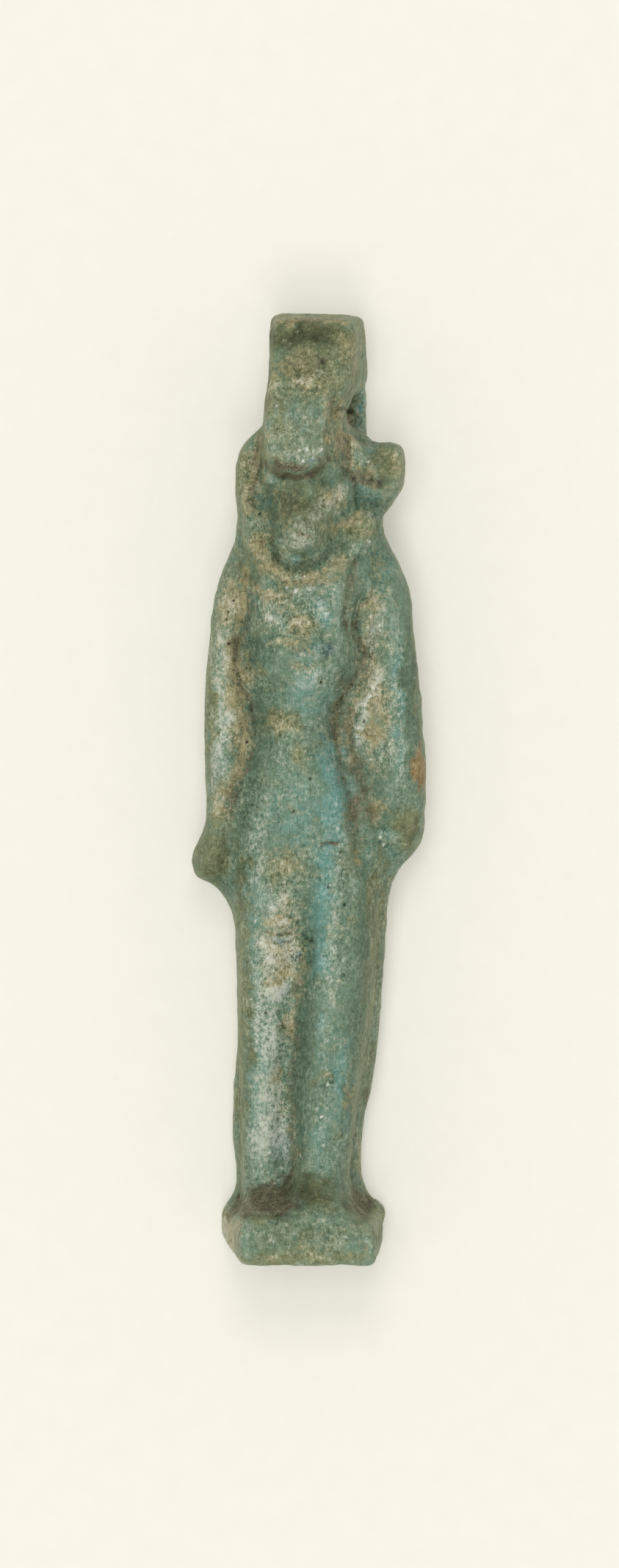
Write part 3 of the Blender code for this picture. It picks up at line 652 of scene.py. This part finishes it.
# painted shade round the muzzle and along the grooves of the legs and the left flank
stainLines["deep"] = {
    "roundTheMuzzle": (0.9, 7, [(373, 700), (371, 735), (379, 760), (396, 772), (414, 776),
                                (436, 770), (448, 752), (450, 725)]),
    "legParting": (0.5, 10, [(420, 1225), (416, 1320), (414, 1400), (408, 1500), (408, 1590)]),
    "shinCurve": (0.9, 3, [(427, 1477), (440, 1481), (453, 1477)]),
    "leftFlank": (0.6, 10, [(352, 940), (358, 985), (352, 1030), (340, 1080), (332, 1130)]),
}
stainLines["olive"] = {
    "crownSide": (1.3, 9, [(362, 560), (368, 500), (368, 440)]),
    "leftOfTheRuff": (0.9, 14, [(346, 730), (360, 765), (386, 782)]),
}
stainLines["tan"] = {
    "leftCheekLine": (0.8, 4, [(364, 640), (344, 690), (350, 705)]),
    "ruff": (0.9, 11, [(344, 740), (358, 768), (380, 783), (412, 790), (444, 784), (464, 762)]),
    "leftEarFold": (0.9, 11, [(356, 596), (348, 645), (336, 695)]),
    "leftArm": (1.0, 11, [(330, 780), (330, 830), (312, 890), (324, 950), (334, 1000),
                          (320, 1060)]),
    "footEdge": (0.7, 3, [(340, 1649), (370, 1647)]),
    "chestFold": (0.7, 5, [(366, 880), (388, 870), (412, 862)]),
    # a pale line painted along the crown's top edge as its highlight
    "crownTopEdge": (1.2, 3, [(372, 437), (474, 437)]),
    "leftArmInner": (0.9, 9, [(326, 800), (326, 850), (310, 880), (308, 910), (316, 940),
                              (332, 970), (334, 1010), (322, 1050), (310, 1080)]),
    "rightArmInner": (0.8, 8, [(486, 830), (506, 880), (508, 910), (490, 945), (470, 990),
                               (480, 1040)]),
    "holeToEar": (0.7, 5, [(455, 560), (470, 600), (490, 640), (520, 655)]),
    "rightElbow": (0.7, 6, [(480, 928), (459, 955), (453, 985), (458, 1020)]),
    "leftElbow": (0.8, 6, [(336, 858), (323, 880), (322, 905), (330, 935), (342, 958)]),
}
# painted highlights along the ridges of the forearm, arm, thigh, ear and cheek
stainLines["frost"] = {
    "rightForearm": (1.2, 5, [(520, 915), (508, 940), (495, 962), (484, 990)]),
    "rightThigh": (0.5, 9, [(466, 1100), (463, 1180), (457, 1260), (450, 1330), (442, 1420)]),
    "rightEarRim": (0.55, 5, [(481, 600), (494, 620), (505, 640), (512, 655)]),
    "rightArmRidge": (0.6, 4, [(540, 830), (543, 960), (548, 1060)]),
    "rightCheek": (0.8, 7, [(464, 664), (448, 686), (430, 702), (418, 716)]),
}
stainLines["turquoise"] = {
    "bellyToThigh": (0.8, 14, [(440, 1030), (454, 1080), (452, 1130), (440, 1200), (434, 1320)]),
}

amulet = {
    "node": "lion_headed_goddess_amulet",
    "grain": 0.123,                  # size of one facet, mm
    "weldGap": 0.0005,               # mm
    "softening": 10,                 # rounds of smoothing that take the solid's facets away
    "bluntRounds": 110,              # more rounds, to smooth the blunted places away
    "levelRounds": 145,              # and more again for the levelled ones
    # how far a surface has to face up, from where the work on it starts to where it is full
    "carved": (0.0, 0.4),
    "smoothed": (-0.5, -0.1),
    "stained": (-0.3, 0.1),
    # the skin's unevenness: height in mm, size of a lump in mm, seed
    "skin": {
        "pressedPaste": (0.035, 1.3, 11),
        "wornPits": (0.026, 0.5, 23),
        "linesAlongIt": (0.012, (0.35, 2.2, 0.35), 37),
    },
    "glintHeight": 0.05,
    "pinholeDepth": 0.08,
    "pinholeWidth": 3.2,             # pixels
    "hollowRounds": 175,             # rounds of smoothing that a hollow is measured against
    "hollowBlur": 4,
    "hollowDepth": 0.20,             # mm, counted as a full hollow
    "creaseRounds": 8,
    "creaseDepth": 0.035,
    # how a stain's edge wanders: size of a lump in mm, octaves, seeds for columns and for rows
    "wander": (0.8, 4, (51, 67)),
    "spotWander": 10,                # how far it wanders, pixels
    "lineWander": 4,
}


def roughOut():
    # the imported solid's own form, in mm, with an even fine mesh
    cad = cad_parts[amulet["node"]]
    mesh = cad.data.copy()
    mesh.materials.clear()
    mesh.transform(Matrix.Scale(1 / mm, 4) @ cad.matrix_world)
    spare = bpy.data.objects.new("roughOut", mesh)
    bpy.context.scene.collection.objects.link(spare)
    weld = spare.modifiers.new("Weld", "WELD")
    weld.merge_threshold = amulet["weldGap"]
    grain = spare.modifiers.new("Grain", "REMESH")
    grain.mode = "VOXEL"
    grain.voxel_size = amulet["grain"]
    fine = bpy.data.meshes.new_from_object(spare.evaluated_get(bpy.context.evaluated_depsgraph_get()))
    bpy.data.objects.remove(spare)
    return fine


def smoothAway(sculpt, seen, share):
    # the blunted and levelled places, drawn to wider and wider averages of the form
    gentle = sculpt.averaged(sculpt.points, amulet["bluntRounds"])
    wide = sculpt.averaged(gentle, amulet["levelRounds"])
    blunt = mostOf(seen, spotShare, blunted.values())
    level = np.maximum(mostOf(seen, levelShare, levelled.values()),
                       mostOf(seen, strokeShare, levelledLines.values()))
    sculpt.points += (gentle - sculpt.points) * (blunt * share)[:, None]
    sculpt.points += (wide - sculpt.points) * (level * share)[:, None]


def cutRelief(sculpt, seen, share):
    # grooves, ridges, bosses and hollows, sunk or raised straight down or up
    lift = np.zeros(len(seen))
    for height, *line in cutLines.values():
        lift += height * strokeShare(seen, *line) * share
    for height, *oval in dabs.values():
        lift += height * spotShare(seen, *oval) * share
    sculpt.points[:, 2] += lift


def roughen(sculpt, holes, highlightShare):
    # the skin's pinholes, unevenness and the raised grains under the painted highlights, kept inside the
    # solid's box
    outward = sculpt.normals()
    height = -amulet["pinholeDepth"] * holes
    for rise, size, seed in amulet["skin"].values():
        height += rise * lumps(sculpt.points, size, seed)
    height += amulet["glintHeight"] * highlightShare
    low, high = (np.array(corner) / mm for corner in cadBox)
    sculpt.points = np.clip(sculpt.points + outward * height[:, None], low, high)


def carve():
    # the solid's own form, smoothed, cut, roughened and marked in turn
    sculpt = Sculpt(roughOut())
    sculpt.points = sculpt.averaged(sculpt.points, amulet["softening"])
    facing = sculpt.normals()[:, 2]
    seen = seenAt(sculpt.points)
    carved = easeBetween(facing, *amulet["carved"])
    smoothAway(sculpt, seen, easeBetween(facing, *amulet["smoothed"]))
    cutRelief(sculpt, seen, carved)
    holeDots = [(1, *place, amulet["pinholeWidth"]) for place in everyOne(pinholes)]
    # the painted highlights, on their raised grains; the finish paints them near white
    highlightDots = [(1, *dot) for dot in everyOne(highlightSpots)]
    holes = mostOf(seen, dotShare, holeDots) * carved
    highlightShare = mostOf(seen, dotShare, highlightDots) * carved
    roughen(sculpt, holes, highlightShare)
    print("carve:", len(sculpt.points), "points,", len(sculpt.mesh.polygons) * 2, "triangles")
    markWear(sculpt)
    sculpt.keep("pinhole", holes)
    sculpt.keep("glint", highlightShare)
    sculpt.mesh.vertices.foreach_set("co", (sculpt.points * mm).ravel())
    sculpt.mesh.update()
    sculpt.mesh.polygons.foreach_set("use_smooth", np.ones(len(sculpt.mesh.polygons), dtype=bool))
    return sculpt.mesh


def markWear(sculpt):
    # how deep in a hollow each point lies, which way it faces, and the stains, painted shade and
    # highlights laid on it
    outward = sculpt.normals()

    def sunk(rounds):
        # mm that each point lies below the average of those round it
        return ((sculpt.averaged(sculpt.points, rounds) - sculpt.points) * outward).sum(1)

    hollow = sculpt.averaged(sunk(amulet["hollowRounds"])[:, None], amulet["hollowBlur"])[:, 0]
    sculpt.keep("hollow", np.clip(hollow / amulet["hollowDepth"], -1, 1))
    sculpt.keep("crease", np.clip(sunk(amulet["creaseRounds"]) / amulet["creaseDepth"], -1, 1))
    sculpt.keep("upward", outward[:, 2])
    stained = easeBetween(outward[:, 2], *amulet["stained"])
    size, octaves, seeds = amulet["wander"]
    wander = np.column_stack([lumps(sculpt.points, size, seed, octaves) for seed in seeds])
    spotPlaces = seenAt(sculpt.points) + wander * amulet["spotWander"]
    linePlaces = seenAt(sculpt.points) + wander * amulet["lineWander"]
    for kind, spots in stains.items():
        total = mostOf(spotPlaces, spotShare, everyOne(spots))
        total = np.maximum(total, mostOf(linePlaces, strokeShare, stainLines.get(kind, {}).values()))
        sculpt.keep(kind, total * stained)
    print("wear: marked", len(stains), "kinds of stain")


class Wire:
    # a socket that can be reckoned with: each step lays one Math node
    def __init__(self, finish, socket):
        self.finish = finish
        self.socket = socket

    def math(self, operation, *others, clamp=False):
        values = dict(enumerate((self,) + others))
        return self.finish.node("Math", {"operation": operation, "use_clamp": clamp}, values)

    def __add__(self, other):
        return self.math("ADD", other)

    __radd__ = __add__

    def __sub__(self, other):
        return self.math("SUBTRACT", other)

    def __rsub__(self, other):
        return (self * -1) + other

    def __mul__(self, other):
        return self.math("MULTIPLY", other)

    __rmul__ = __mul__

    def ease(self, low, high):
        # 0 at low, 1 at high, eased at both ends
        return self.finish.node(
            "MapRange",
            {"interpolation_type": "SMOOTHSTEP"},
            {"Value": self, "From Min": low, "From Max": high, "To Min": 0.0, "To Max": 1.0},
        )

    def held(self):
        # kept from 0 to 1
        return self.math("ADD", 0.0, clamp=True)


def paint(red, green, blue):
    # a colour as a screen shows it, from 0 to 255, as the light it gives back
    light = [
        part / 12.92 if part <= 0.04045 else ((part + 0.055) / 1.055) ** 2.4
        for part in (red / 255, green / 255, blue / 255)
    ]
    return (*light, 1.0)


class Finish:
    # a material, and the nodes laid for it
    def __init__(self, name):
        self.material = bpy.data.materials.new(name)
        self.material.use_nodes = True
        self.tree = self.material.node_tree
        self.tree.nodes.clear()

    def node(self, kind, settings=None, sockets=None, out=0):
        # a shader node of this kind, its settings set first, then values or links for its sockets
        made = self.tree.nodes.new("ShaderNode" + kind)
        for name, value in (settings or {}).items():
            if name == "stops":
                for extra in range(len(value) - 2):
                    made.color_ramp.elements.new(0.5)
                for stop, (place, colour) in zip(made.color_ramp.elements, value):
                    stop.position = place
                    stop.color = colour
            else:
                setattr(made, name, value)
        for name, value in (sockets or {}).items():
            if isinstance(value, Wire):
                self.tree.links.new(value.socket, made.inputs[name])
            else:
                made.inputs[name].default_value = value
        return Wire(self, made.outputs[out]) if made.outputs else made

    def pattern(self, place, scale, detail, roughness=0.55, distortion=0.0):
        # noise of about -1 to 1; scale is the lumps to a unit, or one number for each direction
        if isinstance(scale, tuple):
            place = self.node("VectorMath", {"operation": "MULTIPLY"}, {0: place, 1: scale})
            scale = 1.0
        found = self.node("TexNoise", {}, {
            "Vector": place, "Scale": scale, "Detail": detail,
            "Roughness": roughness, "Distortion": distortion,
        })
        return (found - 0.5) * 4

    def mark(self, name):
        # the number that the carving kept for each point
        return self.node("Attribute", {"attribute_name": name}, out="Fac")

    def blend(self, share, under, over):
        # Mix node: 0 is the share, 6 and 7 are the two colours, 2 is the mixed colour
        return self.node("Mix", {"data_type": "RGBA"}, {0: share, 6: under, 7: over}, out=2)

    def shades(self, tone, colours):
        # a ramp through these colours, evenly spaced
        last = len(colours) - 1
        stops = [(number / last, paint(*colour)) for number, colour in enumerate(colours)]
        return self.node("ValToRGB", {"stops": stops}, {"Fac": tone}, out="Color")


faience = {
    # each state of the glaze, its dirt and its painted light and shade, from its darkest shade to its
    # palest, and the flecks' one shade
    "glaze": [(52, 70, 54), (84, 105, 83), (113, 136, 112), (143, 161, 139), (180, 191, 173)],
    "turquoise": [(56, 90, 80), (84, 126, 115), (108, 151, 140), (138, 174, 164), (182, 201, 192)],
    "olive": [(60, 65, 44), (92, 98, 69), (120, 127, 93), (146, 151, 115), (180, 182, 148)],
    # the walls' olive, paler than the glaze: partly their own colour, partly painted light on walls that
    # the lamps reach little
    "edge": [(68, 78, 48), (106, 116, 78), (137, 147, 103), (164, 170, 128), (196, 198, 162)],
    "tan": [(84, 76, 50), (128, 119, 84), (154, 147, 108), (176, 169, 132), (204, 198, 168)],
    "slate": [(46, 58, 56), (76, 95, 91), (108, 129, 122), (142, 160, 151), (186, 197, 187)],
    "rust": [(80, 62, 36), (112, 92, 56), (144, 121, 77), (164, 143, 101), (194, 176, 136)],
    # dirt, and painted shade in the grooves and hollows
    "brown": [(45, 44, 33), (75, 75, 58), (106, 104, 81), (136, 133, 106), (170, 166, 140)],
    # whitened glaze, also laid as painted highlights
    "frost": (204, 208, 192),
    "pinhole": (34, 36, 28),
    # the painted highlights' near white
    "glint": (226, 230, 218),
    # patterns in the glaze: lumps to a mm (one number, or x, y and z), detail, and where they are
    # not the usual ones, roughness and distortion
    "patterns": {
        "cloud": (0.6, 2.0),
        "patch": (1.6, 6.0, 0.83, 0.5),
        "hue": (1.35, 5.0, 0.7, 0.4),
        "speck": (5.0, 3.0, 0.8),
        "grit": (7.5, 3.0, 0.85),
        "blotch": ((1.7, 1.1, 1.7), 5.0, 0.75, 0.8),
        "fibre": ((9.0, 2.5, 9.0), 4.0, 0.76, 1.2),
        "brushed": ((12.0, 1.4, 12.0), 3.0, 0.6),
        "ringed": ((1.6, 9.0, 3.0), 3.0, 0.6, 0.8),
        "curl": ((2.4, 1.2, 2.4), 2.0, 0.5, 2.0),
    },
    # what is drawn from one signal, a pattern or a mark: where it starts and where it is full
    "eases": {
        "flat": (0.0, 0.6),
        "clear": (-0.35, 0.2),
        "clouded": (-0.7, 0.7),
        "spark": (0.3, 0.8),
        "dust": (0.35, 0.9),
        "hair": (0.93, 1.0),
    },
    # mixes of signals, with the weight of each; even is the same everywhere
    "mixes": {
        "rim": {"even": 0.25, "clear": 0.75},
        "grain": {"patch": 0.42, "speck": 0.7, "fibre": 0.58},
        "busy": {"even": 0.55, "clouded": 0.8},
        "rough": {"grain": 1, "spark": 0.95, "dust": -0.95},
        "worn": {"even": 0.8, "frost": 0.35, "tan": 0.25, "deep": -0.2},
        "lines": {"side": 0.35, "brown": 0.3, "tan": 0.15},
        # hollows and creases made darker, a painted shade; frost made paler and deep darker, each partly
        # painted light and shade
        "tone": {
            "rough": 1, "cloud": 0.08, "ringed": 0.1, "frost": 0.4, "deep": -0.45,
            "hollow": -0.08, "crease": -0.25, "hair": 0.25, "lines": 1,
        },
        "height": {"speck": 0.016, "patch": 0.022, "fibre": 0.014},      # mm
        "dull": {"even": 0.40, "brownShare": 0.3, "speck": 0.08, "glint": -0.2},
    },
    # what is laid over the plain glaze, in turn: the most that it covers, where it starts and
    # where it is full, and the mix that says how much of it there is
    "layers": {
        "turquoise": (1, 0.0, 1.0, {"turquoise": 1, "hue": -0.35, "speck": -0.2}),
        "olive": (1, 0.0, 1.1, {"olive": 1, "hue": 0.35, "fibre": 0.15}),
        "edge": (0.8, 0.2, 1.1, {"rim": 0.9, "hue": 0.25, "fibre": 0.2}),
        "tan": (1, 0.1, 0.95, {
            "tan": 0.8, "hue": 0.4, "patch": 0.25, "fibre": 0.3, "speck": 0.3, "side": -0.35,
        }),
        "slate": (1, 0.2, 1.0, {"slate": 1, "speck": 0.3}),
        "rust": (1, 0.25, 1.1, {"rust": 1, "speck": 0.3, "fibre": 0.2}),
        # dirt, and painted shade, more of it in hollows and creases
        "brown": (1, 0.15, 0.95, {
            "brown": 0.8, "side": -0.15, "hollow": 0.06, "crease": 0.2, "speck": 0.2, "fibre": 0.3,
            "patch": -0.2,
        }),
        "frost": (0.8, 0.3, 1.55, {
            "frost": 0.9, "blotch": 0.5, "fibre": 0.45, "speck": 0.7, "patch": 0.2,
            "brownShare": -0.5,
        }),
        "pinhole": (1, 0.35, 0.9, {"pinhole": 1, "speck": 0.15}),
        # painted highlights where the raised grains are
        "glint": (1, 0.4, 1.0, {"glint": 1, "speck": 0.2}),
    },
    "specular": 0.15,
    "ior": 1.45,
}


def faienceFinish():
    finish = Finish("wornFaience")
    metres = finish.node("TexCoord", out="Object")
    place = finish.node("VectorMath", {"operation": "SCALE"}, {0: metres, "Scale": 1 / mm})

    signals = {name: finish.pattern(place, *values) for name, values in faience["patterns"].items()}
    for name in (*stains, "hollow", "crease", "upward", "pinhole", "glint"):
        signals[name] = finish.mark(name)
    signals["even"] = 1
    eases = faience["eases"]
    mixes = faience["mixes"]

    def mixed(weights):
        # these signals added up, each by its weight
        return sum(signals[name] * weight for name, weight in weights.items())

    # the walls and underneath, and then the walls with less of what is underneath
    signals["side"] = 1 - signals["upward"].ease(*eases["flat"])
    signals["clear"] = signals["upward"].ease(*eases["clear"])
    # the rim is where the edge olive lies, painting the walls paler as painted light
    signals["rim"] = signals["side"] * mixed(mixes["rim"])

    # how dark or pale the glaze is, from 0, darkest, to 1, palest, with painted shade in hollows and
    # creases
    signals["clouded"] = signals["cloud"].ease(*eases["clouded"])
    signals["spark"] = signals["grit"].ease(*eases["spark"])
    signals["dust"] = (signals["grit"] * -1).ease(*eases["dust"])
    signals["hair"] = (1 - signals["curl"].math("ABSOLUTE")).ease(*eases["hair"])
    signals["grain"] = mixed(mixes["grain"]) * mixed(mixes["busy"])
    signals["rough"] = mixed(mixes["rough"]) * mixed(mixes["worn"])
    signals["lines"] = mixed(mixes["lines"]) * signals["brushed"]
    tone = mixed(mixes["tone"]) * 0.5 + 0.5

    # the states of the glaze, its dirt and its painted shade and highlights, and the flecks, which have
    # one colour each
    colour = finish.shades(tone, faience["glaze"])
    for name, (most, low, high, weights) in faience["layers"].items():
        share = mixed(weights).ease(low, high) * most
        signals[name + "Share"] = share
        look = faience[name]
        over = finish.shades(tone, look) if isinstance(look, list) else paint(*look)
        colour = finish.blend(share, colour, over)

    bump = finish.node("Bump", {}, {
        "Strength": 1.0, "Distance": mm, "Height": mixed(mixes["height"]),
    }, out="Normal")
    shader = finish.node("BsdfPrincipled", {}, {
        "Base Color": colour, "Roughness": mixed(mixes["dull"]).held(), "Normal": bump,
        "IOR": faience["ior"], "Specular IOR Level": faience["specular"],
    })
    finish.node("OutputMaterial", {}, {"Surface": shader})
    return finish.material


def makeAmulet():
    piece = bpy.data.objects.new("amuletCarved", carve())
    bpy.context.scene.collection.objects.link(piece)
    piece.data.materials.append(faienceFinish())
    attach(piece, "root")
    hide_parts(amulet["node"])
    print("amulet: finished and set on its body")


table = {
    "size": 4.0,                            # metres each way
    "paper": [(205, 202, 191), (208, 205, 194)],
    "fibres": 900.0,                        # to a metre
    "lit": (236, 236, 224),                 # the thin paper is a little lit from beneath
    "glow": 0.31,
    "roughness": 0.9,
    "specular": 0.1,
}


def makeTable():
    finish = Finish("palePaper")
    metres = finish.node("TexCoord", out="Object")
    fibre = finish.pattern(metres, table["fibres"], 3.0)
    darker, paler = (paint(*shade) for shade in table["paper"])
    shader = finish.node("BsdfPrincipled", {}, {
        "Base Color": finish.blend((fibre * 0.5 + 0.5).held(), darker, paler),
        "Roughness": table["roughness"], "Specular IOR Level": table["specular"],
        "Emission Color": paint(*table["lit"]), "Emission Strength": table["glow"],
    })
    finish.node("OutputMaterial", {}, {"Surface": shader})
    reach = table["size"] / 2
    corners = [(-reach, -reach, 0), (reach, -reach, 0), (reach, reach, 0), (-reach, reach, 0)]
    mesh = bpy.data.meshes.new("paperSheet")
    mesh.from_pydata(corners, [], [(0, 1, 2, 3)])
    mesh.materials.append(finish.material)
    sheet = bpy.data.objects.new("paperSheet", mesh)
    bpy.context.scene.collection.objects.link(sheet)
    print("table: laid")


# Soft boxes round the table: where each stands and how wide it is in metres, and its watts.
lights = {
    "overBox": ((-0.08, 0.0, 0.85), 0.26, 2.05),
    "headBox": ((-0.01, 0.31, 0.85), 0.22, 1.2),
    "footBox": ((-0.01, -0.27, 0.85), 0.22, 1.4),
}
roomLight = {"colour": (1.0, 0.99, 0.965), "strength": 0.54}


def makeLights():
    for name, (place, width, watts) in lights.items():
        data = bpy.data.lights.new(name, "AREA")
        data.shape = "SQUARE"
        data.size = width
        data.energy = watts
        lamp = bpy.data.objects.new(name, data)
        lamp.location = place
        lamp.rotation_mode = "QUATERNION"
        aim = Vector((0, 0, 0)) - Vector(place)
        lamp.rotation_quaternion = aim.to_track_quat("-Z", "Y")
        lamp.visible_camera = False
        bpy.context.scene.collection.objects.link(lamp)
    world = bpy.data.worlds.new("room")
    world.use_nodes = True
    glow = world.node_tree.nodes["Background"]
    glow.inputs["Color"].default_value = (*roomLight["colour"], 1)
    glow.inputs["Strength"].default_value = roomLight["strength"]
    bpy.context.scene.world = world
    print("lights:", len(lights), "soft boxes")


def makeCamera():
    across, along = photoMiddle()
    data = bpy.data.cameras.new("aboveCamera")
    data.sensor_width = photo["sensorWide"]
    tall = photo["high"] / photo["pixelsPerMm"]      # mm of table from the picture's top to its foot
    data.lens = data.sensor_width * (photo["cameraHeight"] - photo["sharpHeight"]) / tall
    data.clip_end = photo["seesTo"]
    camera = bpy.data.objects.new("aboveCamera", data)
    camera.location = (across * mm, along * mm, photo["cameraHeight"] * mm)
    bpy.context.scene.collection.objects.link(camera)
    bpy.context.scene.camera = camera
    bpy.context.scene.view_settings.view_transform = "Standard"
    print("camera: straight above, lens", round(data.lens), "mm")


makeAmulet()
makeTable()
makeLights()
makeCamera()

print("scene: done")
